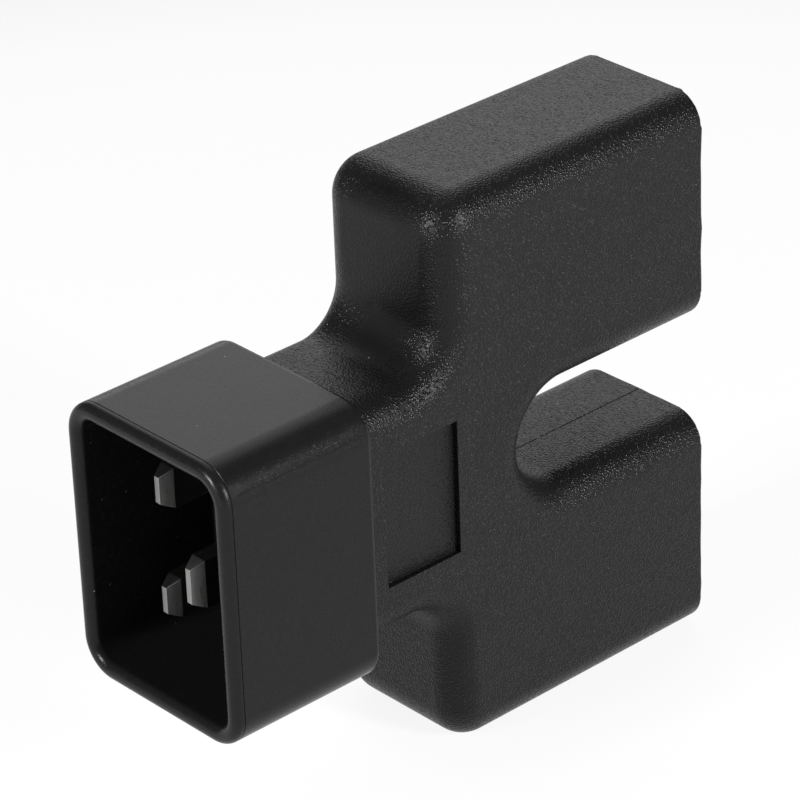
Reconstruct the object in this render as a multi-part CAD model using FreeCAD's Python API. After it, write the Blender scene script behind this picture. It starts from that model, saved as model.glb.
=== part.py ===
import FreeCAD, Part
import math
import os
from collections import namedtuple

# Two-way power splitter: one shrouded plug in front, a moulded fork behind it, an outlet in each leg.
# Millimetres. It is drawn about the plug's axis: Y runs from the plug's mouth (y = 0) to the leg ends,
# Z is up and X is the thickness. The finished solids are then set down with the origin under the middle.

# Plug shroud
SHROUD_THICKNESS = 24.8
SHROUD_HEIGHT = 32.5
SHROUD_LENGTH = 19.3
SHROUD_CORNER = 4.15
SHROUD_WALL = 2.0
SHROUD_FLOOR = 2.4
RIM_FLAT = 0.1
BACK_EDGE_BEVEL = 0.3
PIN_BLOCK_THICKNESS = 14.4
PIN_BLOCK_HEIGHT = 22.0
PIN_BLOCK_LENGTH = 5.0

# Plug pins
PIN_PITCH = 13.0
PIN_ROW_X = -3.9
EARTH_OFFSET = 8.2
BLADE_THICKNESS = 2.0
LIVE_BLADE_WIDTH = 4.6
EARTH_BLADE_WIDTH = 5.5
LIVE_TIP_DEPTH = 4.6
EARTH_TIP_DEPTH = 1.4
TIP_LENGTH = 1.5
TIP_THICKNESS = 0.7
TIP_NARROWING = 1.5
PIN_TAIL = 6.0

# Moulded fork
NECK_LENGTH = 13.1
NECK_HEIGHT = 27.8
NECK_BLEND = 4.7
FORK_LENGTH = 37.6
FORK_THICKNESS = 18.9
LEG_HEIGHT = 26.6
LEG_GAP = 11.8
GAP_DEPTH = 26.0
EDGE_ROUND = 3.7
SHOULDER_EXTRA_ROUND = 0.7
PANEL_LENGTH = 10.2
PANEL_HEIGHT = 15.7
PANEL_FROM_SHROUD = 4.2
PANEL_RISE = 0.15
PANEL_DEPTH = 0.7
GATE_WIDTH = 8.0
GATE_DEPTH = 0.4
GATE_END_SLOPE = 1.6
GATE_TIGHTER = 0.8

# Outlet cores in the leg ends
LEG_SKIN = 2.0
CORE_DEPTH = 24.0
CORE_FACE = 2.5
CAP_THICKNESS = 2.0
SLOT_CLEARANCE = 0.4
SLOT_LEAD = 0.5

# Spring contacts
STRIP_THICKNESS = 0.8
TAIL_WIDTH = 4.0
TAIL_LENGTH = 6.0
CONTACT_CLEARANCE = 0.3
CONTACT_SETBACK = 2.5
PINCH = 0.3
FLARE = 0.3
LIP_LENGTH = 2.5
PINCH_LENGTH = 4.0
JOGGLE_LENGTH = 2.0
BRIDGE_LENGTH = 5.0

# Bus plates
BUS_THICKNESS = 1.0
BUS_WIDTH = 5.0
BUS_ARM = 2.6

# Places worked out from the sizes
FORK_FRONT = SHROUD_LENGTH + NECK_LENGTH
LENGTH = FORK_FRONT + FORK_LENGTH
HEIGHT = 2 * LEG_HEIGHT + LEG_GAP
PIN_BLOCK_END = SHROUD_LENGTH + PIN_BLOCK_LENGTH
CORE_BACK = LENGTH - CORE_DEPTH
CAP_BACK = CORE_BACK - CAP_THICKNESS
SPINE_BACK = CAP_BACK - BUS_ARM
SPINE_FRONT = SPINE_BACK - BUS_WIDTH
LEG_CENTRE = (LEG_GAP + LEG_HEIGHT) / 2
LEGS = {"upper": LEG_CENTRE, "lower": -LEG_CENTRE}

# Each pole's blade: its X and Z in the plug and in each outlet, the side of it that carries the bus plate,
# its width, and how far its tip stands back from the mouth
Pole = namedtuple("Pole", "x z side width tip")
POLES = {
    "line": Pole(PIN_ROW_X, PIN_PITCH / 2, -1, LIVE_BLADE_WIDTH, LIVE_TIP_DEPTH),
    "neutral": Pole(PIN_ROW_X, -PIN_PITCH / 2, 1, LIVE_BLADE_WIDTH, LIVE_TIP_DEPTH),
    "earth": Pole(PIN_ROW_X + EARTH_OFFSET, 0.0, 1, EARTH_BLADE_WIDTH, EARTH_TIP_DEPTH),
}


def point(x, y, z):
    return FreeCAD.Vector(x, y, z)


def outline(corners, place):
    """Closed wire through corners (a, b, radius), each rounded; place() sets a flat point in space."""
    rounds = []
    for i, (a, b, radius) in enumerate(corners):
        before = corners[i - 1]
        after = corners[(i + 1) % len(corners)]
        corner = point(a, b, 0)
        back = (point(before[0], before[1], 0) - corner).normalize()
        ahead = (point(after[0], after[1], 0) - corner).normalize()
        half = back.getAngle(ahead) / 2
        run = radius / math.tan(half)
        middle = corner + (back + ahead).normalize() * (radius / math.sin(half) - radius)
        rounds.append((radius, corner + back * run, middle, corner + ahead * run))
    edges = []
    for i, (radius, start, middle, end) in enumerate(rounds):
        leave = rounds[i - 1][3]
        if leave.distanceToPoint(start) > 1e-6:
            edges.append(Part.LineSegment(place(leave), place(start)).toShape())
        if radius > 0:
            edges.append(Part.Arc(place(start), place(middle), place(end)).toShape())
    return Part.Wire(edges)


def section(thickness, height, corner, y, x=0.0, z=0.0):
    """Rectangle with rounded corners in the XZ plane at y, centred on x and z."""
    half_x = thickness / 2
    half_z = height / 2
    signs = [(-1, -1), (1, -1), (1, 1), (-1, 1)]
    corners = [(a * half_x, b * half_z, corner) for a, b in signs]
    return outline(corners, lambda p: point(x + p.x, y, z + p.y))


def bar(thickness, height, corner, y0, y1, x=0.0, z=0.0):
    """Bar along Y from y0 to y1 with that section."""
    return Part.Face(section(thickness, height, corner, y0, x, z)).extrude(point(0, y1 - y0, 0))


def block(x0, x1, y0, y1, z0, z1):
    return Part.makeBox(x1 - x0, y1 - y0, z1 - z0, point(x0, y0, z0))


def taper(x, z, y0, thickness0, height0, y1, thickness1, height1):
    """Block along Y that tapers from one rectangle at y0 to another at y1, both centred on x and z."""
    low = (x - thickness0 / 2, y0, z - height0 / 2, z - height1 / 2, x - thickness1 / 2)
    high = (x + thickness0 / 2, y1, z + height0 / 2, z + height1 / 2, x + thickness1 / 2)
    return Part.makeWedge(*low, *high)


def lies_at(low, high, value):
    return abs(low - value) < 1e-4 and abs(high - value) < 1e-4


def edges_at_y(shape, y):
    return [edge for edge in shape.Edges if lies_at(edge.BoundBox.YMin, edge.BoundBox.YMax, y)]


# Plug

def pin(pole):
    """Flat blade with a tip that tapers on all four sides, and a tail behind the pin block."""
    foot_y = pole.tip + TIP_LENGTH
    blade = bar(BLADE_THICKNESS, pole.width, 0, foot_y, PIN_BLOCK_END + PIN_TAIL, pole.x, pole.z)
    nose = (pole.tip, TIP_THICKNESS, pole.width - TIP_NARROWING)
    foot = (foot_y, BLADE_THICKNESS, pole.width)
    return blade.fuse(taper(pole.x, pole.z, *nose, *foot)).removeSplitter()


def plug_shroud(pins):
    """Open box with a round-nosed rim, and the block behind its floor that carries the pins."""
    shell = bar(SHROUD_THICKNESS, SHROUD_HEIGHT, SHROUD_CORNER, 0, SHROUD_LENGTH)
    shell = shell.makeChamfer(BACK_EDGE_BEVEL, edges_at_y(shell, SHROUD_LENGTH))
    hollow_thickness = SHROUD_THICKNESS - 2 * SHROUD_WALL
    hollow_height = SHROUD_HEIGHT - 2 * SHROUD_WALL
    hollow_corner = SHROUD_CORNER - SHROUD_WALL
    shell = shell.cut(bar(hollow_thickness, hollow_height, hollow_corner, 0, SHROUD_LENGTH - SHROUD_FLOOR))
    shell = shell.makeFillet((SHROUD_WALL - RIM_FLAT) / 2, edges_at_y(shell, 0))
    pin_block = bar(PIN_BLOCK_THICKNESS, PIN_BLOCK_HEIGHT, 0, SHROUD_LENGTH, PIN_BLOCK_END)
    return shell.fuse(pin_block).removeSplitter().cut(pins)


# Outlets

def leg_filling(leg, y0, y1):
    """Bar that fills a leg's inside from y0 to y1."""
    thickness = FORK_THICKNESS - 2 * LEG_SKIN
    height = LEG_HEIGHT - 2 * LEG_SKIN
    return bar(thickness, height, EDGE_ROUND - LEG_SKIN, y0, y1, 0, LEGS[leg])


def chamber(pole, z):
    """Room for a contact behind the core's face: it sits on the floor and has clearance to spring open."""
    half = BLADE_THICKNESS / 2 + STRIP_THICKNESS + FLARE + CONTACT_CLEARANCE
    floor = z - pole.width / 2 - STRIP_THICKNESS
    roof = z + pole.width / 2 + CONTACT_CLEARANCE
    return block(pole.x - half, pole.x + half, CORE_BACK, LENGTH - CORE_FACE, floor, roof)


def blade_slot(pole, z):
    """Slot through the core's face with a lead-in all round."""
    thickness = BLADE_THICKNESS + 2 * SLOT_CLEARANCE
    width = pole.width + 2 * SLOT_CLEARANCE
    throat = bar(thickness, width, 0, LENGTH - CORE_FACE, LENGTH, pole.x, z)
    narrow = (LENGTH - SLOT_LEAD, thickness, width)
    wide = (LENGTH, thickness + 2 * SLOT_LEAD, width + 2 * SLOT_LEAD)
    return throat.fuse(taper(pole.x, z, *narrow, *wide))


def outlet_core(leg):
    """Block in a leg end with a chamber and a slot for each blade."""
    core = leg_filling(leg, CORE_BACK, LENGTH)
    for pole in POLES.values():
        z = LEGS[leg] + pole.z
        core = core.cut([chamber(pole, z), blade_slot(pole, z)])
    return core


def outlet_cap(leg, contacts):
    """Plate that closes the back of the chambers round the contact tails."""
    return leg_filling(leg, CAP_BACK, CORE_BACK).cut(contacts)


def contact(leg, pole):
    """Folded spring clip: a tail, two sprung leaves with a pinched throat, and the fold that joins them."""
    z = LEGS[leg] + pole.z
    inner = BLADE_THICKNESS / 2
    outer = inner + STRIP_THICKNESS
    start = CORE_BACK + JOGGLE_LENGTH
    mouth = LENGTH - CORE_FACE - CONTACT_SETBACK
    throat = mouth - LIP_LENGTH
    leaf = [(start, inner), (throat - PINCH_LENGTH, inner), (throat, inner - PINCH), (mouth, inner + FLARE)]
    inset = inner - STRIP_THICKNESS
    tail = [(CAP_BACK - TAIL_LENGTH, inset), (CORE_BACK, inset), (start, inner)]

    def strip(line, side, width):
        """Strip bent along a line of (y, distance from the blade's middle)."""
        far_face = [(y, u + STRIP_THICKNESS) for y, u in reversed(line)]
        corners = [point(pole.x + side * u, y, z - width / 2) for y, u in line + far_face]
        return Part.Face(Part.makePolygon(corners + corners[:1])).extrude(point(0, 0, width))

    floor = z - pole.width / 2
    fold = block(pole.x - outer, pole.x + outer, start, start + BRIDGE_LENGTH, floor - STRIP_THICKNESS, floor)
    near = strip(leaf, pole.side, pole.width)
    far = strip(leaf, -pole.side, pole.width)
    return near.multiFuse([far, fold, strip(tail, pole.side, TAIL_WIDTH)]).removeSplitter()


# Conductors

def bus(pole):
    """Flat stamped plate: a tab on the pin's tail, a spine, and an arm to the contact tail in each leg."""
    half = BUS_WIDTH / 2
    low = LEGS["lower"] + pole.z
    high = LEGS["upper"] + pole.z
    stops = [(PIN_BLOCK_END, pole.z - half), (SPINE_FRONT, pole.z - half)]
    for z, first, last in ((low, SPINE_FRONT, SPINE_BACK), (high, SPINE_BACK, SPINE_FRONT)):
        stops += [(first, z - half), (CAP_BACK, z - half), (CAP_BACK, z + half), (last, z + half)]
    stops += [(SPINE_FRONT, pole.z + half), (PIN_BLOCK_END, pole.z + half)]
    face = pole.x + pole.side * BLADE_THICKNESS / 2
    corners = [point(face, y, z) for y, z in stops]
    return Part.Face(Part.makePolygon(corners + corners[:1])).extrude(point(pole.side * BUS_THICKNESS, 0, 0))


# Moulded fork

def fork_outline():
    """Side outline of the neck, the block and the two legs."""
    top = HEIGHT / 2
    neck = NECK_HEIGHT / 2
    gap = LEG_GAP / 2
    upper = [
        (LENGTH - GAP_DEPTH, gap, gap),
        (LENGTH, gap, 0),
        (LENGTH, top, 0),
        (FORK_FRONT, top, EDGE_ROUND + SHOULDER_EXTRA_ROUND),
        (FORK_FRONT, neck, NECK_BLEND),
        (SHROUD_LENGTH, neck, 0),
    ]
    lower = [(y, -z, radius) for y, z, radius in reversed(upper)]
    return outline(upper + lower, lambda p: point(-FORK_THICKNESS / 2, p.x, p.y))


def marking_panel():
    """Shallow bare recess in the neck's broad side."""
    face = FORK_THICKNESS / 2
    start = SHROUD_LENGTH + PANEL_FROM_SHROUD
    low = PANEL_RISE - PANEL_HEIGHT / 2
    return block(face - PANEL_DEPTH, face, start, start + PANEL_LENGTH, low, low + PANEL_HEIGHT)


def gate_dimple():
    """Barrel that leaves a shallow hollow in the blend above the neck, where the mould was filled."""
    waist = NECK_BLEND - GATE_TIGHTER
    sink = (GATE_DEPTH + GATE_TIGHTER) * math.sqrt(0.5)
    y = FORK_FRONT - NECK_BLEND + sink
    z = NECK_HEIGHT / 2 + NECK_BLEND - sink
    half = GATE_WIDTH / 2
    flat = half - GATE_END_SLOPE
    end = waist - GATE_DEPTH
    staves = [(-half, 0), (-half, end), (-flat, waist), (flat, waist), (half, end), (half, 0)]
    corners = [point(x, y, z + radius) for x, radius in staves]
    return Part.Face(Part.makePolygon(corners + corners[:1])).revolve(point(0, y, z), point(1, 0, 0), 360)


def overmould_body(inserts):
    """Fork with rounded long edges, moulded round the inserts."""
    fork = Part.Face(fork_outline()).extrude(point(FORK_THICKNESS, 0, 0))
    cut_ends = edges_at_y(fork, SHROUD_LENGTH) + edges_at_y(fork, LENGTH)
    long_edges = []
    for edge in fork.Edges:
        box = edge.BoundBox
        on_side = any(lies_at(box.XMin, box.XMax, side * FORK_THICKNESS / 2) for side in (-1, 1))
        if on_side and not any(edge.isSame(end) for end in cut_ends):
            long_edges.append(edge)
    fork = fork.makeFillet(EDGE_ROUND, long_edges)
    pockets = [leg_filling(leg, CAP_BACK, LENGTH) for leg in LEGS]
    return fork.cut([marking_panel(), gate_dimple()] + pockets + inserts)


def build():
    """All the pieces by name, in the frame of the plug's axis."""
    pieces = {f"{name}_pin": pin(pole) for name, pole in POLES.items()}
    pieces["plug_shroud"] = plug_shroud(list(pieces.values()))
    for leg in LEGS:
        contacts = {f"{leg}_{name}_contact": contact(leg, pole) for name, pole in POLES.items()}
        pieces.update(contacts)
        pieces[f"{leg}_outlet_core"] = outlet_core(leg)
        pieces[f"{leg}_outlet_cap"] = outlet_cap(leg, list(contacts.values()))
    for name, pole in POLES.items():
        pieces[f"{name}_bus"] = bus(pole)
    pieces["overmould_body"] = overmould_body(list(pieces.values()))
    return pieces


def main():
    os.makedirs("parts", exist_ok=True)
    for name, shape in build().items():
        shape.translate(point(0, -LENGTH / 2, HEIGHT / 2))
        shape.exportStep(f"parts/{name}.step")


main()
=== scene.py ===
import math
from contextlib import contextmanager

import bmesh
import bpy
from bpy.props import FloatProperty, FloatVectorProperty, IntProperty, PointerProperty
from bpy.types import Operator, Panel, PropertyGroup
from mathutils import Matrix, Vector


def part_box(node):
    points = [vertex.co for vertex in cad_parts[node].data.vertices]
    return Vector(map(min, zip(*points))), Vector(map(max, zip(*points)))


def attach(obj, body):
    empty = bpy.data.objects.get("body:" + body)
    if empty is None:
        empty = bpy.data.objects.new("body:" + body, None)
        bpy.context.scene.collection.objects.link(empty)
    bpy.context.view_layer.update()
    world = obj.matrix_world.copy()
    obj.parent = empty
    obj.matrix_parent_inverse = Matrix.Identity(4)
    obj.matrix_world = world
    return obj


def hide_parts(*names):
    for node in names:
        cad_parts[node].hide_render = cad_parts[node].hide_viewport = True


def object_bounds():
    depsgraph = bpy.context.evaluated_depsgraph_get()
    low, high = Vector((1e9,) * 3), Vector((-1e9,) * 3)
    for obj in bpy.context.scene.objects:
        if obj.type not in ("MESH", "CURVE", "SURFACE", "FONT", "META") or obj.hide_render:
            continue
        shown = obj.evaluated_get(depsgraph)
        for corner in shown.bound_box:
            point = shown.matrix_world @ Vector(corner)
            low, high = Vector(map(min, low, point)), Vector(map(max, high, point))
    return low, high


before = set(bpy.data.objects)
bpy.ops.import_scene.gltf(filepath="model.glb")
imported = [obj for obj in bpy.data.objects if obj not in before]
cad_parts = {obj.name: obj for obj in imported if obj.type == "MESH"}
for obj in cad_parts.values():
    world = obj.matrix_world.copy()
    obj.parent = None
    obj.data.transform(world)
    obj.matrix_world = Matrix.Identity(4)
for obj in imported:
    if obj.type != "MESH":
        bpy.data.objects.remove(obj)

bl_info = {
    "name": "Power splitter",
    "version": (1, 0, 0),
    "blender": (4, 5, 0),
    "location": "View3D > Sidebar > Splitter",
    "description": "Dresses a moulded two-way power splitter and lights it on a pale stage",
    "category": "Object",
}

# Boxes of the frame, in metres: X is the thickness, Y runs from the plug's mouth to the leg ends, Z is up
CAD_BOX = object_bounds()
FORK_LOW, FORK_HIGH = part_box("overmould_body")
PLUG_LOW, PLUG_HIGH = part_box("plug_shroud")
CORE_LOW, CORE_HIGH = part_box("upper_outlet_core")
AXIS_Z = (PLUG_LOW.z + PLUG_HIGH.z) / 2
LEG_SKIN = FORK_HIGH.x - CORE_HIGH.x
GAP_HALF = CORE_LOW.z - LEG_SKIN - AXIS_Z

MM = 0.001
NEAR = 0.002 * MM
SMOOTH_BELOW = math.radians(35)
DIAGONAL = math.sqrt(0.5)
X, Y, Z = range(3)


def length(name, description, millimetres):
    """Property for a size, given in millimetres and kept in metres."""
    return FloatProperty(
        name=name, description=description, default=millimetres * MM, unit="LENGTH", precision=6
    )


def share(name, description, default):
    """Property for a number from 0 to 1."""
    return FloatProperty(
        name=name, description=description, default=default, min=0, max=1, subtype="FACTOR"
    )


def colour(name, description, default):
    """Property for a linear colour."""
    return FloatVectorProperty(
        name=name, description=description, default=default, min=0, max=1, size=3, subtype="COLOR"
    )


class ForkSizes(PropertyGroup):
    neck_length: length("Neck length", "From the plug's back to the block's front", 13.1)
    neck_height: length("Neck height", "Height of the neck between plug and block", 27.8)
    neck_blend: length("Neck blend", "Radius of the hollow corner between neck and block", 4.7)
    shoulder_round: length("Shoulder round", "Radius of the block's front corners, seen from the side", 4.4)
    edge_round: length("Edge round", "Radius along both broad sides", 3.7)
    gap_depth: length("Gap depth", "From the leg ends to the root of the gap", 26.0)
    end_edge: length("End edge", "Round on the edges of the leg ends", 0.4)
    end_wear: length("End wear", "How uneven those edges are", 0.11)
    wear_spacing: length("Wear spacing", "From one bump or dent in those edges to the next", 1.5)
    panel_start: length("Panel start", "From the plug's back to the marking recess", 4.2)
    panel_length: length("Panel length", "Length of the marking recess", 10.2)
    panel_height: length("Panel height", "Height of the marking recess", 15.7)
    panel_rise: length("Panel rise", "Middle of the recess above the plug's axis", 0.15)
    panel_depth: length("Panel depth", "Depth of the marking recess", 0.7)
    panel_edge: length("Panel edge", "Small round on the edges of the recess", 0.06)
    pocket_depth: length("Pocket depth", "Depth of the pocket for an outlet core", 26.0)
    gate_depth: length("Gate depth", "Depth of the hollow where the mould was filled", 0.08)
    gate_reach: length("Gate reach", "How far that hollow fades out", 4.2)
    gate_pit: length("Gate pit", "Depth of the small pit that the gate left", 0.12)
    parting_width: length("Parting width", "Width of the mould's parting line", 0.2)
    parting_depth: length("Parting depth", "Depth of the mould's parting line", 0.14)
    arc_steps: IntProperty(name="Arc steps", description="Facets in a quarter round", default=16, min=4)


class PlugSizes(PropertyGroup):
    corner: length("Corner", "Radius of the shroud's long corners", 4.15)
    wall: length("Wall", "Thickness of the shroud's wall", 2.0)
    floor: length("Floor", "Thickness of the shroud's floor", 2.4)
    rim_round: length("Rim round", "Radius on both sides of the rim", 0.95)
    floor_round: length("Floor round", "Radius at the foot of the cavity walls", 0.4)
    back_run: length("Back run", "Length over which the shroud's sides ease in towards the back", 0.4)
    back_drop: length("Back drop", "How far they ease in", 0.1)
    block_thickness: length("Block thickness", "Thickness of the pin block behind the floor", 14.4)
    block_height: length("Block height", "Height of the pin block behind the floor", 22.0)
    parting_place: length("Parting place", "From the rim's front to the parting line", 1.14)
    parting_width: length("Parting width", "Width of the parting line", 0.14)
    parting_depth: length("Parting depth", "Depth of the parting line", 0.1)
    tip_length: length("Tip length", "Length of a blade's tapered tip", 1.5)
    tip_thickness: length("Tip thickness", "Thickness of a blade at its very end", 0.7)
    tip_narrowing: length("Tip narrowing", "How much narrower a blade is at its very end", 1.5)
    blade_edge: length("Blade edge", "Small round on a blade's edges", 0.05)
    arc_steps: IntProperty(name="Arc steps", description="Facets in a quarter round", default=16, min=4)


class Finishes(PropertyGroup):
    mould_colour: colour("Mould colour", "Black of the grained fork", (0.0045, 0.0045, 0.0047))
    mould_roughness: share("Mould roughness", "Roughness of the fork between its grains", 0.43)
    grain: length("Grain", "Spacing of the grains of the sparked mould texture", 0.27)
    grain_relief: length("Grain relief", "Height of that texture", 0.054)
    grain_gloss: share("Grain gloss", "How much less rough the grains are", 0.18)
    mould_sheen: share("Mould sheen", "Specular level of the fork", 0.178)
    plug_colour: colour("Plug colour", "Black of the smooth plug", (0.0065, 0.0065, 0.0067))
    plug_roughness: share("Plug roughness", "Roughness of the smooth plug", 0.26)
    plug_grain: length("Plug grain", "Size of one grain of the plug's very fine texture", 0.15)
    plug_relief: length("Plug relief", "Height of the plug's faint waves, which its texture stands on", 0.03)
    plug_sheen: share("Plug sheen", "Specular level of the plug", 0.142)
    outlet_colour: colour("Outlet colour", "Black of the outlet faces", (0.0045, 0.0045, 0.0047))
    outlet_roughness: share("Outlet roughness", "Roughness of the outlet faces", 0.42)
    outlet_sheen: share("Outlet sheen", "Specular level of the outlet faces", 0.25)
    nickel_colour: colour("Nickel colour", "Plating of the blades", (0.3, 0.3, 0.295))
    nickel_roughness: share("Nickel roughness", "Roughness of the blades", 0.3)
    brass_colour: colour("Brass colour", "Contacts and bus plates", (0.74, 0.53, 0.25))
    brass_roughness: share("Brass roughness", "Roughness of contacts and bus plates", 0.32)


class StageSettings(PropertyGroup):
    camera_place: FloatVectorProperty(
        name="Camera place", description="Where the camera stands", size=3, unit="LENGTH",
        default=(0.291594, -0.257894, 0.252487),
    )
    camera_turn: FloatVectorProperty(
        name="Camera turn", description="Tilt, roll and pan of the camera", size=3, subtype="EULER",
        default=[math.radians(angle) for angle in (61.2277, 1.9419, 47.5147)],
    )
    focal_length: FloatProperty(
        name="Focal length", description="Lens of the camera in millimetres", default=191.04
    )
    sensor_width: FloatProperty(
        name="Sensor width", description="Width of the camera's sensor in millimetres", default=36
    )
    floor_size: length("Floor size", "Width of the stage floor", 20000)
    floor_colour: colour("Floor colour", "Pale stage floor", (0.86, 0.86, 0.86))
    floor_lift: share("Floor lift", "How far the seen floor is lifted to plain white", 0.88)
    floor_reach: length("Floor reach", "How far from the object the floor stays white", 160)
    room_level: share("Room level", "Brightness of the room all round", 0.15)
    backdrop_level: FloatProperty(
        name="Backdrop level", description="Brightness of the backdrop behind the object", default=1.88
    )
    lamp_power: FloatProperty(name="Lamp power", description="Each soft box, in watts", default=3.4)
    lamp_size: FloatVectorProperty(
        name="Lamp size", description="Width and height of a soft box", size=2, unit="LENGTH",
        default=(0.1, 0.14),
    )
    lamp_distance: length("Lamp distance", "From the object to a soft box", 550)
    lamp_height: FloatProperty(
        name="Lamp height", description="Angle of the soft boxes above the floor", subtype="ANGLE",
        default=math.radians(21),
    )


# Modelling by hand: what is selected, cut and rounded

def lies_at(item, axis, value):
    """True where every vertex of an edge or face has this coordinate."""
    return all(abs(vert.co[axis] - value) < NEAR for vert in item.verts)


def runs_along(edge, axis):
    """True where an edge is parallel to an axis."""
    run = edge.verts[1].co - edge.verts[0].co
    return abs(run[axis]) > run.length - NEAR


def middle(item):
    """Middle of an edge's or face's vertices."""
    return sum((vert.co for vert in item.verts), Vector()) / len(item.verts)


def looks_sideways(face):
    """True where a face looks to the left or right."""
    return abs(face.normal.x) >= 0.5


def anything(item):
    """True for every face."""
    return True


@contextmanager
def editing(piece):
    """Work on one piece in edit mode."""
    bpy.ops.object.select_all(action="DESELECT")
    piece.select_set(True)
    bpy.context.view_layer.objects.active = piece
    bpy.ops.object.mode_set(mode="EDIT")
    yield
    bpy.ops.object.mode_set(mode="OBJECT")


def pick(kind, test):
    """Select only the faces, edges or vertices that pass the test."""
    bpy.ops.mesh.select_mode(type=kind)
    bpy.ops.mesh.select_all(action="DESELECT")
    data = bpy.context.object.data
    mesh = bmesh.from_edit_mesh(data)
    mesh.normal_update()
    items = {"FACE": mesh.faces, "EDGE": mesh.edges, "VERT": mesh.verts}[kind]
    found = [item for item in items if test(item)]
    if not found:
        raise RuntimeError(f"nothing to select on {bpy.context.object.name}")
    for item in found:
        item.select_set(True)
    mesh.select_flush_mode()
    bmesh.update_edit_mesh(data)


def cut(axis, value, test=anything):
    """Bisect the faces that pass the test where an axis has this value."""
    pick("FACE", test)
    direction = [float(i == axis) for i in range(3)]
    place = [value * part for part in direction]
    bpy.ops.mesh.bisect(plane_co=place, plane_no=direction, threshold=NEAR)


def push(**step):
    """Extrude the selected faces by a step along X, Y or Z."""
    value = (step.get("x", 0), step.get("y", 0), step.get("z", 0))
    bpy.ops.mesh.extrude_region_move(TRANSFORM_OT_translate={"value": value})


def merge():
    """Join the vertices that lie on one another."""
    bpy.ops.mesh.select_all(action="SELECT")
    bpy.ops.mesh.remove_doubles(threshold=NEAR)


def round_edges(test, radius, steps):
    """Round off the edges that pass the test."""
    pick("EDGE", test)
    bpy.ops.mesh.bevel(
        offset=radius, segments=steps, profile=0.5, affect="EDGES", clamp_overlap=False
    )
    merge()


def groove(axis, value, width, depth, test):
    """Press a fine line into the faces that pass the test, all round at one place on an axis."""
    for side in (-0.5, 0.5, 0):
        cut(axis, value + side * width, test)
    pick("VERT", lambda vert: abs(vert.co[axis] - value) < NEAR and any(map(test, vert.link_faces)))
    bpy.ops.transform.shrink_fatten(value=-depth)


def name_piece(name, scale=(1, 1, 1)):
    """Put the new primitive's place and size into its mesh, and name it."""
    piece = bpy.context.object
    piece.scale = scale
    bpy.ops.object.transform_apply(location=True, rotation=True, scale=True)
    piece.name = name
    piece.data.name = name
    return piece


def new_block(name, low, high):
    """Block between two corners."""
    bpy.ops.object.select_all(action="DESELECT")
    bpy.ops.mesh.primitive_cube_add(size=1, location=(low + high) / 2)
    return name_piece(name, high - low)


def new_side_plate(name, low, high):
    """Flat plate in the plane of the left side, between two corners."""
    size = high - low
    place = (low.x, (low.y + high.y) / 2, (low.z + high.z) / 2)
    bpy.ops.object.select_all(action="DESELECT")
    bpy.ops.mesh.primitive_plane_add(size=1, location=place, rotation=(0, math.pi / 2, 0))
    return name_piece(name, (size.z, size.y, 1))


def smooth(piece):
    """Shade round faces smooth and keep flat faces flat up to their edges."""
    bpy.ops.object.select_all(action="DESELECT")
    piece.select_set(True)
    bpy.context.view_layer.objects.active = piece
    bpy.ops.object.shade_smooth_by_angle(angle=SMOOTH_BELOW)
    bpy.ops.object.modifier_add(type="WEIGHTED_NORMAL")
    piece.modifiers[-1].keep_sharp = True
    piece.modifiers[-1].weight = 100
    bpy.ops.object.modifier_apply(modifier=piece.modifiers[-1].name)


def dress(piece, material, slot, *nodes):
    """Give a new piece its finish and let it stand for the frame's nodes."""
    piece.data.materials.clear()
    piece.data.materials.append(material)
    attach(piece, "root")
    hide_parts(*nodes)


# Shaders written as expressions

class Wire:
    """A node's output that can stand in a Python expression."""

    def __init__(self, finish, socket):
        self.finish = finish
        self.socket = socket

    def out(self, name):
        """Another output of the same node."""
        return Wire(self.finish, self.socket.node.outputs[name])

    def __add__(self, other):
        return self.finish.maths("ADD", self, other)

    def __radd__(self, other):
        return self.finish.maths("ADD", other, self)

    def __sub__(self, other):
        return self.finish.maths("SUBTRACT", self, other)

    def __rsub__(self, other):
        return self.finish.maths("SUBTRACT", other, self)

    def __mul__(self, other):
        return self.finish.maths("MULTIPLY", self, other)

    def __rmul__(self, other):
        return self.finish.maths("MULTIPLY", other, self)

    def __abs__(self):
        return self.finish.maths("ABSOLUTE", self, 0)

    def larger(self, other):
        return self.finish.maths("MAXIMUM", self, other)


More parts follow.
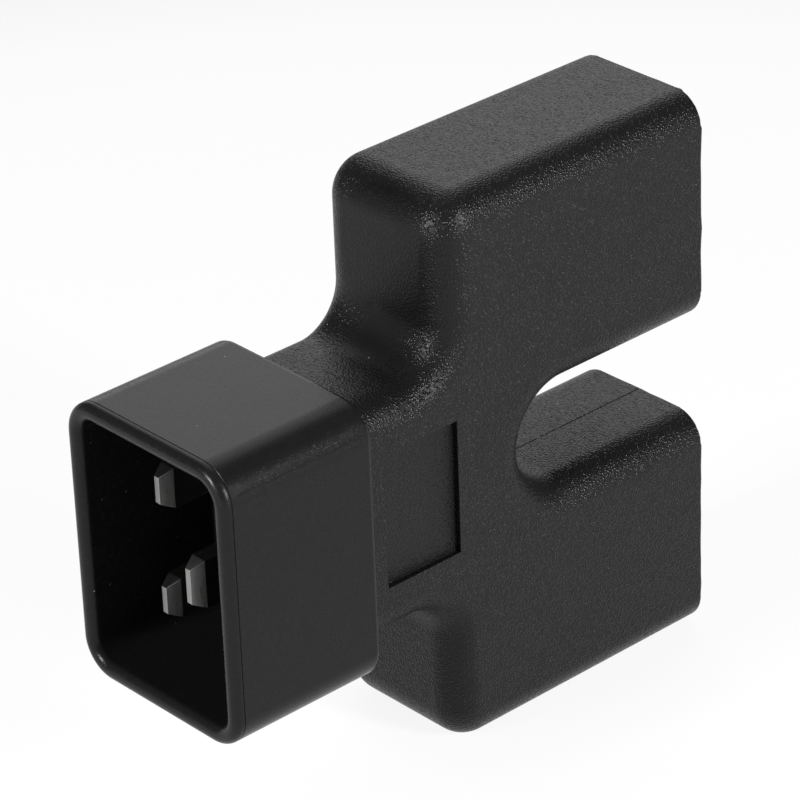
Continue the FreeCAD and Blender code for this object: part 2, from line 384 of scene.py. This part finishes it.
class Finish:
    """Builds the nodes of one material or world."""

    def __init__(self, owner):
        owner.use_nodes = True
        self.tree = owner.node_tree
        self.tree.nodes.clear()
        in_world = isinstance(owner, bpy.types.World)
        self.output = "ShaderNodeOutputWorld" if in_world else "ShaderNodeOutputMaterial"

    def node(self, kind, settings=None, values=None):
        """New node: its settings are set first, then the values or links of its sockets."""
        node = self.tree.nodes.new(kind)
        for key, value in (settings or {}).items():
            setattr(node, key, value)
        for key, value in (values or {}).items():
            if isinstance(value, Wire):
                self.tree.links.new(value.socket, node.inputs[key])
            else:
                node.inputs[key].default_value = value
        return Wire(self, node.outputs[0]) if node.outputs else node

    def maths(self, operation, first, second):
        return self.node("ShaderNodeMath", {"operation": operation}, {0: first, 1: second})

    def ramp(self, value, start, end, low=0.0, high=1.0):
        """Smooth step from low to high while the value goes from start to end."""
        return self.node(
            "ShaderNodeMapRange",
            {"interpolation_type": "SMOOTHSTEP"},
            {"Value": value, "From Min": start, "From Max": end, "To Min": low, "To Max": high},
        )

    def blend(self, factor, first, second):
        """Mix of two colours, whose sockets come after those for numbers and vectors."""
        values = {0: factor, 6: first, 7: second}
        return self.node("ShaderNodeMix", {"data_type": "RGBA"}, values).out(2)

    def place(self):
        """Point on the object."""
        return self.node("ShaderNodeTexCoord").out("Object")

    def noise(self, place, size, detail=2.0, rough=0.5, stretch=(1, 1, 1)):
        """Noise with features of about that size, longer where stretch is above one."""
        scale = [1 / (size * part) for part in stretch]
        spot = self.node("ShaderNodeVectorMath", {"operation": "MULTIPLY"}, {0: place, 1: scale})
        return self.node(
            "ShaderNodeTexNoise", {}, {"Vector": spot, "Scale": 1, "Detail": detail, "Roughness": rough}
        )

    def reach(self, place, centre, stretch):
        """Distance from a centre, shorter along an axis where stretch is above one."""
        offset = self.node("ShaderNodeVectorMath", {"operation": "SUBTRACT"}, {0: place, 1: centre})
        scaled = self.node("ShaderNodeVectorMath", {"operation": "DIVIDE"}, {0: offset, 1: stretch})
        return self.node("ShaderNodeVectorMath", {"operation": "LENGTH"}, {0: scaled}).out("Value")

    def along(self, vector, direction):
        """How far a vector goes in a direction."""
        values = {0: vector, 1: direction}
        return self.node("ShaderNodeVectorMath", {"operation": "DOT_PRODUCT"}, values).out("Value")

    def cells(self, place, size):
        """Cells of about that size: distance to the middle of the nearest one, and its own colour."""
        return self.node("ShaderNodeTexVoronoi", {"feature": "F1"}, {"Vector": place, "Scale": 1 / size})

    def chance(self, cells):
        """Random number from 0 to 1 that each cell has of its own."""
        return self.node("ShaderNodeSeparateColor", {}, {0: cells.out("Color")})

    def bump(self, height, relief):
        """Normals of a surface with this height, from 0 to 1, times its relief."""
        return self.node("ShaderNodeBump", {}, {"Height": height, "Distance": relief, "Strength": 1})

    def surface(self, shader):
        self.node(self.output, {}, {"Surface": shader})


def toward(turn, height):
    """Unit vector to a point round the object: turn from the front, to the right, and height in degrees."""
    turn, height = math.radians(turn), math.radians(height)
    return Vector((math.sin(turn) * math.cos(height), -math.cos(turn) * math.cos(height), math.sin(height)))


def grey(level):
    """Opaque grey of this level."""
    return (level, level, level, 1)


def opaque(rgb):
    """Colour with full alpha."""
    return (*rgb, 1)


def mottled(finish, pattern, rgb, gain):
    """Colour that rises up to gain times its own level over a pattern."""
    return finish.blend(pattern, opaque(rgb), grey(rgb[0] * gain))


def dust_and_glints(finish, place, shade):
    """Colour with a few tiny pale specks on it, partly dust and partly painted glints."""
    spacing = 1.3 * MM
    rarity = 0.85
    speck_edge = (0.03, 0.07)
    dust_and_glint = grey(0.35)
    cells = finish.cells(place, spacing)
    chosen = finish.ramp(finish.chance(cells), rarity, 1.0)
    specks = finish.ramp(cells.out("Distance"), *speck_edge, 1.0, 0.0) * chosen
    # pale specks in the colour: partly dust, partly painted glints
    return finish.blend(specks, shade, dust_and_glint)


def grained_mould(looks, gate, front):
    """Black compound with the sparked texture of its mould, smoother at the gate, and painted shade that
    darkens the front.
    """
    material = bpy.data.materials.new("grained_mould")
    finish = Finish(material)
    place = finish.place()
    gate_fade = (1.5 * MM, 4.8 * MM)
    gate_grain = 0.3
    patch_stretch = (7.5, 5, 9)
    patch_fade = (0.75 * MM, 1.15 * MM)
    patch_grain = 0.4
    grain_edge = 0.68
    gloss_edge = 0.4
    at_gate = finish.ramp(finish.reach(place, gate, (1, 1, 1)), *gate_fade, gate_grain, 1.0)
    on_front = finish.ramp(finish.reach(place, front, patch_stretch), *patch_fade, patch_grain, 1.0)
    grained = at_gate * on_front
    cells = finish.cells(place, looks.grain)
    height = 0.5 + 0.8 * finish.chance(cells)
    grain = finish.ramp(cells.out("Distance"), 0.0, grain_edge, 1.0, 0.0) * height * grained
    gloss = finish.ramp(cells.out("Distance"), gloss_edge, grain_edge, looks.grain_gloss, 0.0) * grained
    mottle = finish.noise(place, 3.5 * MM, detail=3)
    # painted shade: over the front patch the base colour drops to a tenth, so the front face reads as lying
    # in shade; the same patch also has less grain
    painted_shade = grey(looks.mould_colour[0] * 0.1)
    shade = finish.blend(on_front, painted_shade, mottled(finish, mottle, looks.mould_colour, gain=1.5))
    shader = finish.node("ShaderNodeBsdfPrincipled", {}, {
        # base colour with pale specks that are partly dust, partly painted glints
        "Base Color": dust_and_glints(finish, place, shade),
        "Roughness": looks.mould_roughness - gloss,
        "Specular IOR Level": looks.mould_sheen,
        "Normal": finish.bump(grain, looks.grain_relief),
    })
    finish.surface(shader)
    return material


def smooth_plug(looks):
    """Satin black plastic with a very fine texture and faint waves."""
    material = bpy.data.materials.new("smooth_plug")
    finish = Finish(material)
    place = finish.place()
    grain_edge = 0.6
    grain_share = 0.4
    haze_range = 0.14
    cells = finish.cells(place, looks.plug_grain)
    chance = finish.chance(cells)
    height = 0.25 + 1.1 * chance * chance
    grain = finish.ramp(cells.out("Distance"), 0.0, grain_edge, 1.0, 0.0) * height
    waves = finish.noise(place, 6 * MM, detail=1)
    haze = finish.noise(place, 0.8 * MM, detail=3, rough=0.6)
    shader = finish.node("ShaderNodeBsdfPrincipled", {}, {
        # base colour with pale specks that are partly dust, partly painted glints
        "Base Color": dust_and_glints(finish, place, mottled(finish, haze, looks.plug_colour, gain=1.3)),
        "Roughness": looks.plug_roughness + (haze - 0.5) * haze_range,
        "Specular IOR Level": looks.plug_sheen,
        "Normal": finish.bump(waves + grain * grain_share, looks.plug_relief),
    })
    finish.surface(shader)
    return material


def outlet_plastic(looks):
    """Fine matt black of the outlet cores and their caps."""
    material = bpy.data.materials.new("outlet_plastic")
    finish = Finish(material)
    place = finish.place()
    relief = 0.01 * MM
    mottle_range = 0.1
    grain = finish.noise(place, 0.18 * MM, detail=2)
    mottle = finish.noise(place, 3 * MM, detail=2)
    shader = finish.node("ShaderNodeBsdfPrincipled", {}, {
        "Base Color": mottled(finish, mottle, looks.outlet_colour, gain=1.5),
        "Roughness": looks.outlet_roughness + (mottle - 0.5) * mottle_range,
        "Specular IOR Level": looks.outlet_sheen,
        "Normal": finish.bump(grain, relief),
    })
    finish.surface(shader)
    return material


def drawn_metal(name, rgb, roughness):
    """Metal strip with fine brush marks and a little tarnish."""
    material = bpy.data.materials.new(name)
    finish = Finish(material)
    place = finish.place()
    relief = 0.001 * MM
    marks_range = 0.16
    dulled = [part * 0.8 for part in rgb]
    marks = finish.noise(place, 0.12 * MM, detail=2, stretch=(1, 20, 20))
    tarnish = finish.noise(place, 1.6 * MM, detail=1)
    shader = finish.node("ShaderNodeBsdfPrincipled", {}, {
        "Base Color": finish.blend(tarnish, opaque(dulled), opaque(rgb)),
        "Roughness": roughness + (marks - 0.5) * marks_range,
        "Metallic": 1,
        "Normal": finish.bump(marks, relief),
    })
    finish.surface(shader)
    return material


# Pieces

class SPLITTER_OT_fork(Operator):
    """Model the moulded fork from its side outline, with its rounds, recess, pockets and mould marks"""
    bl_idname = "splitter.fork"
    bl_label = "Moulded fork"

    def execute(self, context):
        sizes = context.scene.splitter_fork
        front = FORK_LOW.y + sizes.neck_length
        neck = sizes.neck_height / 2
        root = FORK_HIGH.y - sizes.gap_depth
        gate_in = 0.3 * sizes.neck_blend
        gate = Vector((0, front - gate_in, AXIS_Z + neck + gate_in))
        fork = new_side_plate("moulded_fork", FORK_LOW, FORK_HIGH)
        with editing(fork):
            self.outline(front, root, neck)
            self.rounds(sizes, front, root, neck)
            self.marking_recess(sizes)
            self.gate_hollow(sizes, front, neck, gate)
            self.leg_ends(sizes)
            self.parting_line(sizes, root)
            self.pin_block_pocket(context.scene.splitter_plug)
        smooth(fork)
        # middle of the front patch, which has less grain and carries painted shade
        face = (0, front, (gate.z + FORK_HIGH.z) / 2)
        dress(fork, grained_mould(context.scene.splitter_finishes, gate, face), "overmould", "overmould_body")
        return {"FINISHED"}

    def outline(self, front, root, neck):
        """Cut the plate to the side outline and extrude it through the thickness."""
        for place in (front, root):
            cut(Y, place)
        for half in (neck, GAP_HALF):
            cut(Z, AXIS_Z - half)
            cut(Z, AXIS_Z + half)

        def outside(face):
            spot = middle(face)
            above = abs(spot.z - AXIS_Z)
            return (spot.y < front and above > neck) or (spot.y > root and above < GAP_HALF)

        pick("FACE", outside)
        bpy.ops.mesh.delete(type="FACE")
        bpy.ops.mesh.select_all(action="SELECT")
        bpy.ops.mesh.dissolve_limited(angle_limit=math.radians(1))
        bpy.ops.mesh.select_all(action="SELECT")
        push(x=FORK_HIGH.x - FORK_LOW.x)
        bpy.ops.mesh.select_all(action="SELECT")
        bpy.ops.mesh.normals_make_consistent(inside=False)

    def rounds(self, sizes, front, root, neck):
        """Round the corners of the outline, then both long rims."""
        corners = (
            (front, FORK_HIGH.z - AXIS_Z, sizes.shoulder_round),
            (front, neck, sizes.neck_blend),
            (root, GAP_HALF, GAP_HALF),
        )
        for y, half, radius in corners:
            def corner(edge):
                spot = middle(edge)
                return (
                    runs_along(edge, X) and abs(spot.y - y) < NEAR
                    and abs(abs(spot.z - AXIS_Z) - half) < NEAR
                )
            round_edges(corner, radius, sizes.arc_steps)

        def rim(edge):
            on_side = any(lies_at(edge, X, side) for side in (FORK_LOW.x, FORK_HIGH.x))
            return on_side and not lies_at(edge, Y, FORK_LOW.y) and not lies_at(edge, Y, FORK_HIGH.y)

        round_edges(rim, sizes.edge_round, sizes.arc_steps)

    def marking_recess(self, sizes):
        """Sink the bare marking recess into the neck's right side."""
        start = FORK_LOW.y + sizes.panel_start
        end = start + sizes.panel_length
        low = AXIS_Z + sizes.panel_rise - sizes.panel_height / 2
        high = low + sizes.panel_height

        def broad_side(face):
            return lies_at(face, X, FORK_HIGH.x)

        def strip(face):
            return broad_side(face) and start < middle(face).y < end

        def panel(face):
            return strip(face) and low < middle(face).z < high

        cut(Y, start, broad_side)
        cut(Y, end, broad_side)
        cut(Z, low, strip)
        cut(Z, high, strip)
        pick("FACE", panel)
        push(x=-sizes.panel_depth)
        floor = FORK_HIGH.x - sizes.panel_depth

        def panel_edge(edge):
            spot = middle(edge)
            inside = start - NEAR < spot.y < end + NEAR and low - NEAR < spot.z < high + NEAR
            return inside and floor - NEAR < spot.x

        round_edges(panel_edge, sizes.panel_edge, steps=2)

    def gate_hollow(self, sizes, front, neck, gate):
        """Press a soft hollow into the blend above the neck, and the gate's small pit beside it."""
        top = AXIS_Z + neck
        reach = sizes.gate_reach
        blend = sizes.neck_blend

        def near_gate(face):
            spot = middle(face)
            on_blend = front - blend - 2 * reach < spot.y < front + NEAR
            in_height = top - NEAR < spot.z < top + blend + 2 * reach
            return on_blend and in_height and not looks_sideways(face)

        for step in range(1, 4):
            cut(Y, front - blend - step * reach / 4, near_gate)
            cut(Z, top + blend + step * reach / 4, near_gate)
        for step in range(-12, 13):
            cut(X, step * reach / 8, near_gate)
        core = reach / 3
        pick("VERT", lambda vert: abs(vert.co.x) < core and (vert.co - gate).yz.length < core)
        sink = sizes.gate_depth * DIAGONAL
        bpy.ops.transform.translate(
            value=(0, sink, -sink), use_proportional_edit=True, proportional_edit_falloff="SMOOTH",
            proportional_size=reach,
        )
        pit = Vector((-0.375 * reach, front, top + 0.8 * blend))
        pit_size = reach / 12
        pick("VERT", lambda vert: (vert.co - pit).length < pit_size)
        bpy.ops.transform.translate(value=(0, sizes.gate_pit, 0))

    def parting_line(self, sizes, root):
        """Press the mould's parting line in round the gap, up to the leg ends."""
        def in_gap(face):
            spot = middle(face)
            inside = spot.y > root - NEAR and abs(spot.z - AXIS_Z) < GAP_HALF + NEAR
            return inside and not looks_sideways(face)

        groove(X, 0, sizes.parting_width, sizes.parting_depth, in_gap)

    def leg_ends(self, sizes):
        """Hollow out each leg end for its outlet core, and round its edges unevenly."""
        end = FORK_HIGH.y

        def leg_end(face):
            return lies_at(face, Y, end)

        pick("FACE", leg_end)
        bpy.ops.mesh.inset(thickness=LEG_SKIN, use_even_offset=True)
        push(y=-sizes.pocket_depth)

        ring = end - 4 * sizes.end_edge

        def near_end(face):
            return middle(face).y > ring

        cut(Y, ring)
        heights = ((FORK_LOW.z, AXIS_Z - GAP_HALF), (AXIS_Z + GAP_HALF, FORK_HIGH.z))
        for axis, low, high in ((X, FORK_LOW.x, FORK_HIGH.x), (Z, *heights[0]), (Z, *heights[1])):
            start = low + sizes.edge_round
            for step in range(1, int((high - sizes.edge_round - start) / sizes.wear_spacing)):
                cut(axis, start + step * sizes.wear_spacing, near_end)

        def end_edge(edge):
            return lies_at(edge, Y, end) and not all(map(leg_end, edge.link_faces))

        round_edges(end_edge, sizes.end_edge, steps=4)
        ridge = end - sizes.end_edge * (1 - DIAGONAL)
        pick("VERT", lambda vert: abs(vert.co.y - ridge) < NEAR)
        bpy.ops.transform.vertex_random(offset=sizes.end_wear, seed=3)

    def pin_block_pocket(self, plug):
        """Leave room for the plug's pin block in the neck's front."""
        half_x = plug.block_thickness / 2
        half_z = plug.block_height / 2

        def neck_end(face):
            return lies_at(face, Y, FORK_LOW.y)

        for side in (-1, 1):
            cut(X, side * half_x, neck_end)
            cut(Z, AXIS_Z + side * half_z, neck_end)

        def seat(face):
            spot = middle(face)
            return neck_end(face) and abs(spot.x) < half_x and abs(spot.z - AXIS_Z) < half_z

        pick("FACE", seat)
        push(y=PLUG_HIGH.y - FORK_LOW.y)


class SPLITTER_OT_plug(Operator):
    """Model the plug's shroud: an open box with a round-nosed rim and the pin block behind its floor"""
    bl_idname = "splitter.plug"
    bl_label = "Plug shell"

    def execute(self, context):
        sizes = context.scene.splitter_plug
        back = FORK_LOW.y
        rim = PLUG_LOW.y
        shell = new_block("plug_shell", PLUG_LOW, Vector((PLUG_HIGH.x, back, PLUG_HIGH.z)))

        def on_rim(face):
            return lies_at(face, Y, rim)

        def rim_edge(edge):
            return lies_at(edge, Y, rim) and not all(map(on_rim, edge.link_faces))

        with editing(shell):
            round_edges(lambda edge: runs_along(edge, Y), sizes.corner, sizes.arc_steps)
            pick("FACE", on_rim)
            bpy.ops.mesh.inset(thickness=sizes.wall, use_even_offset=True)
            floor = back - sizes.floor
            push(y=floor - rim)
            round_edges(lambda edge: lies_at(edge, Y, floor), sizes.floor_round, steps=4)
            round_edges(rim_edge, sizes.rim_round, steps=8)
            self.back_edge(sizes, back)
            self.pin_block(sizes, back)
            self.parting_line(sizes, rim)
        smooth(shell)
        dress(shell, smooth_plug(context.scene.splitter_finishes), "plug_plastic", "plug_shroud")
        return {"FINISHED"}

    def back_edge(self, sizes, back):
        """Ease the shroud's sides in towards its back edge, in two steps."""
        half = (PLUG_HIGH - PLUG_LOW) / 2
        for ahead in (1, 0.5):
            cut(Y, back - ahead * sizes.back_run)
        for ahead, part in ((0.5, 0.25), (0, 1)):
            place = back - ahead * sizes.back_run
            drop = part * sizes.back_drop
            pick("VERT", lambda vert: abs(vert.co.y - place) < NEAR)
            bpy.ops.transform.resize(
                value=(1 - drop / half.x, 1, 1 - drop / half.z), center_override=(0, place, AXIS_Z)
            )

    def pin_block(self, sizes, back):
        """Push the pin block out of the back."""
        half_x = sizes.block_thickness / 2
        half_z = sizes.block_height / 2

        def back_face(face):
            return lies_at(face, Y, back)

        def seat(face):
            spot = middle(face)
            return back_face(face) and abs(spot.x) < half_x and abs(spot.z - AXIS_Z) < half_z

        for side in (-1, 1):
            cut(X, side * half_x, back_face)
            cut(Z, AXIS_Z + side * half_z, back_face)
        pick("FACE", seat)
        push(y=PLUG_HIGH.y - back)

    def parting_line(self, sizes, rim):
        """Press the fine parting line in just behind the rim."""
        place = rim + sizes.parting_place
        axis = Vector((0, 0, AXIS_Z))

        def outer(face):
            reach = middle(face) - axis
            flat = abs(face.normal.y) < 0.1
            return flat and face.normal.x * reach.x + face.normal.z * reach.z > 0 and reach.y < FORK_LOW.y

        groove(Y, place, sizes.parting_width, sizes.parting_depth, outer)


class SPLITTER_OT_blades(Operator):
    """Model the three plated blades with their tapered tips"""
    bl_idname = "splitter.blades"
    bl_label = "Blades"

    def execute(self, context):
        sizes = context.scene.splitter_plug
        looks = context.scene.splitter_finishes
        nickel = drawn_metal("nickel_plating", looks.nickel_colour, looks.nickel_roughness)
        for pole in ("line", "neutral", "earth"):
            node = f"{pole}_pin"
            low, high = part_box(node)
            foot = low.y + sizes.tip_length
            blade = new_block(f"{pole}_blade", Vector((low.x, foot, low.z)), high)
            with editing(blade):
                pick("FACE", lambda face: lies_at(face, Y, foot))
                push(y=-sizes.tip_length)
                size = high - low
                narrow = (sizes.tip_thickness / size.x, 1, 1 - sizes.tip_narrowing / size.z)
                centre = ((low.x + high.x) / 2, low.y, (low.z + high.z) / 2)
                bpy.ops.transform.resize(value=narrow, center_override=centre)
                round_edges(lambda edge: middle(edge).y < high.y - NEAR, sizes.blade_edge, steps=3)
            smooth(blade)
            dress(blade, nickel, "pin_plating", node)
        return {"FINISHED"}


class SPLITTER_OT_inner_parts(Operator):
    """Finish the outlet cores, their caps, the spring contacts and the bus plates"""
    bl_idname = "splitter.inner_parts"
    bl_label = "Outlets and conductors"

    def execute(self, context):
        looks = context.scene.splitter_finishes
        plastic = outlet_plastic(looks)
        brass = drawn_metal("contact_brass", looks.brass_colour, looks.brass_roughness)
        for node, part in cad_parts.items():
            if node.endswith(("_core", "_cap")):
                part.material_slots[0].material = plastic
            elif node.endswith(("_contact", "_bus")):
                part.material_slots[0].material = brass
        return {"FINISHED"}


class SPLITTER_OT_stage(Operator):
    """Set up the pale floor, the surroundings, the lamps and the camera"""
    bl_idname = "splitter.stage"
    bl_label = "Stage"

    def execute(self, context):
        scene = context.scene
        stage = scene.splitter_stage
        scene.view_settings.view_transform = "Standard"
        self.surroundings(scene, stage)
        self.floor(stage)
        self.lamps(stage)
        self.camera(scene, stage)
        return {"FINISHED"}

    @staticmethod
    def seen(finish):
        """One for rays that show the background: straight, mirrored or through glass."""
        path = finish.node("ShaderNodeLightPath")
        mirrored = path.out("Is Glossy Ray").larger(path.out("Is Transmission Ray"))
        return path.out("Is Camera Ray").larger(mirrored)

    def surroundings(self, scene, stage):
        """A dim room with a tall white backdrop behind the object."""
        scene.world = bpy.data.worlds.new("studio")
        finish = Finish(scene.world)
        direction = finish.node("ShaderNodeTexCoord")
        turn = -132
        across = abs(finish.along(direction, toward(turn + 90, 0)))
        behind = finish.along(direction, toward(turn, 0))
        above = finish.along(direction, toward(0, 90))
        sides = finish.ramp(across, 0.18, 0.44, 1.0, 0.0)
        top = finish.ramp(behind, 0.1, 0.35)
        foot = finish.ramp(above, 0.0, 0.16)
        panel = sides * top * foot
        level = finish.ramp(panel, 0.0, 1.0, stage.room_level, stage.backdrop_level)
        finish.surface(finish.node("ShaderNodeBackground", {}, {"Color": grey(1), "Strength": level}))

    def floor(self, stage):
        """Pale floor that keeps the shadow."""
        bpy.ops.object.select_all(action="DESELECT")
        bpy.ops.mesh.primitive_plane_add(size=stage.floor_size, location=(0, 0, CAD_BOX[0].z))
        floor = name_piece("floor")
        material = bpy.data.materials.new("pale_floor")
        finish = Finish(material)
        matt = finish.node("ShaderNodeBsdfDiffuse", {}, {"Color": opaque(stage.floor_colour)})
        white = finish.node("ShaderNodeEmission", {}, {"Color": grey(1), "Strength": 1})
        away = finish.reach(finish.place(), (0, 0, 0), (1, 1, 1))
        near = finish.ramp(away, stage.floor_reach, 2 * stage.floor_reach, stage.floor_lift, 0.0)
        lift = self.seen(finish) * near
        finish.surface(finish.node("ShaderNodeMixShader", {}, {0: lift, 1: matt, 2: white}))
        floor.data.materials.append(material)

    def lamps(self, stage):
        """Two soft boxes, one on each side of the camera."""
        target = (CAD_BOX[0] + CAD_BOX[1]) / 2
        turns = {"right_softbox": 102, "left_softbox": -4}
        for name, turn in turns.items():
            away = toward(turn, math.degrees(stage.lamp_height))
            bpy.ops.object.light_add(type="AREA", location=target + away * stage.lamp_distance)
            lamp = bpy.context.object
            lamp.name = name
            lamp.data.shape = "RECTANGLE"
            lamp.data.size, lamp.data.size_y = stage.lamp_size
            lamp.data.energy = stage.lamp_power
            lamp.rotation_euler = away.to_track_quat("Z", "Y").to_euler()

    def camera(self, scene, stage):
        bpy.ops.object.camera_add(location=stage.camera_place, rotation=stage.camera_turn)
        camera = bpy.context.object
        camera.data.lens = stage.focal_length
        camera.data.sensor_width = stage.sensor_width
        scene.camera = camera


class SPLITTER_PT_panel(Panel):
    """Lists the pieces of the splitter and its stage"""
    bl_idname = "SPLITTER_PT_panel"
    bl_label = "Power splitter"
    bl_space_type = "VIEW_3D"
    bl_region_type = "UI"
    bl_category = "Splitter"

    def draw(self, context):
        for operator in OPERATORS:
            self.layout.operator(operator.bl_idname)


GROUPS = {
    "splitter_fork": ForkSizes,
    "splitter_plug": PlugSizes,
    "splitter_finishes": Finishes,
    "splitter_stage": StageSettings,
}
OPERATORS = (
    SPLITTER_OT_fork,
    SPLITTER_OT_plug,
    SPLITTER_OT_blades,
    SPLITTER_OT_inner_parts,
    SPLITTER_OT_stage,
)
CLASSES = (*GROUPS.values(), *OPERATORS, SPLITTER_PT_panel)


def register():
    for item in CLASSES:
        bpy.utils.register_class(item)
    for name, group in GROUPS.items():
        setattr(bpy.types.Scene, name, PointerProperty(type=group))


def unregister():
    for name in GROUPS:
        delattr(bpy.types.Scene, name)
    for item in reversed(CLASSES):
        bpy.utils.unregister_class(item)


def main():
    register()
    bpy.ops.splitter.fork()
    bpy.ops.splitter.plug()
    bpy.ops.splitter.blades()
    bpy.ops.splitter.inner_parts()
    bpy.ops.splitter.stage()


if __name__ == "__main__":
    main()
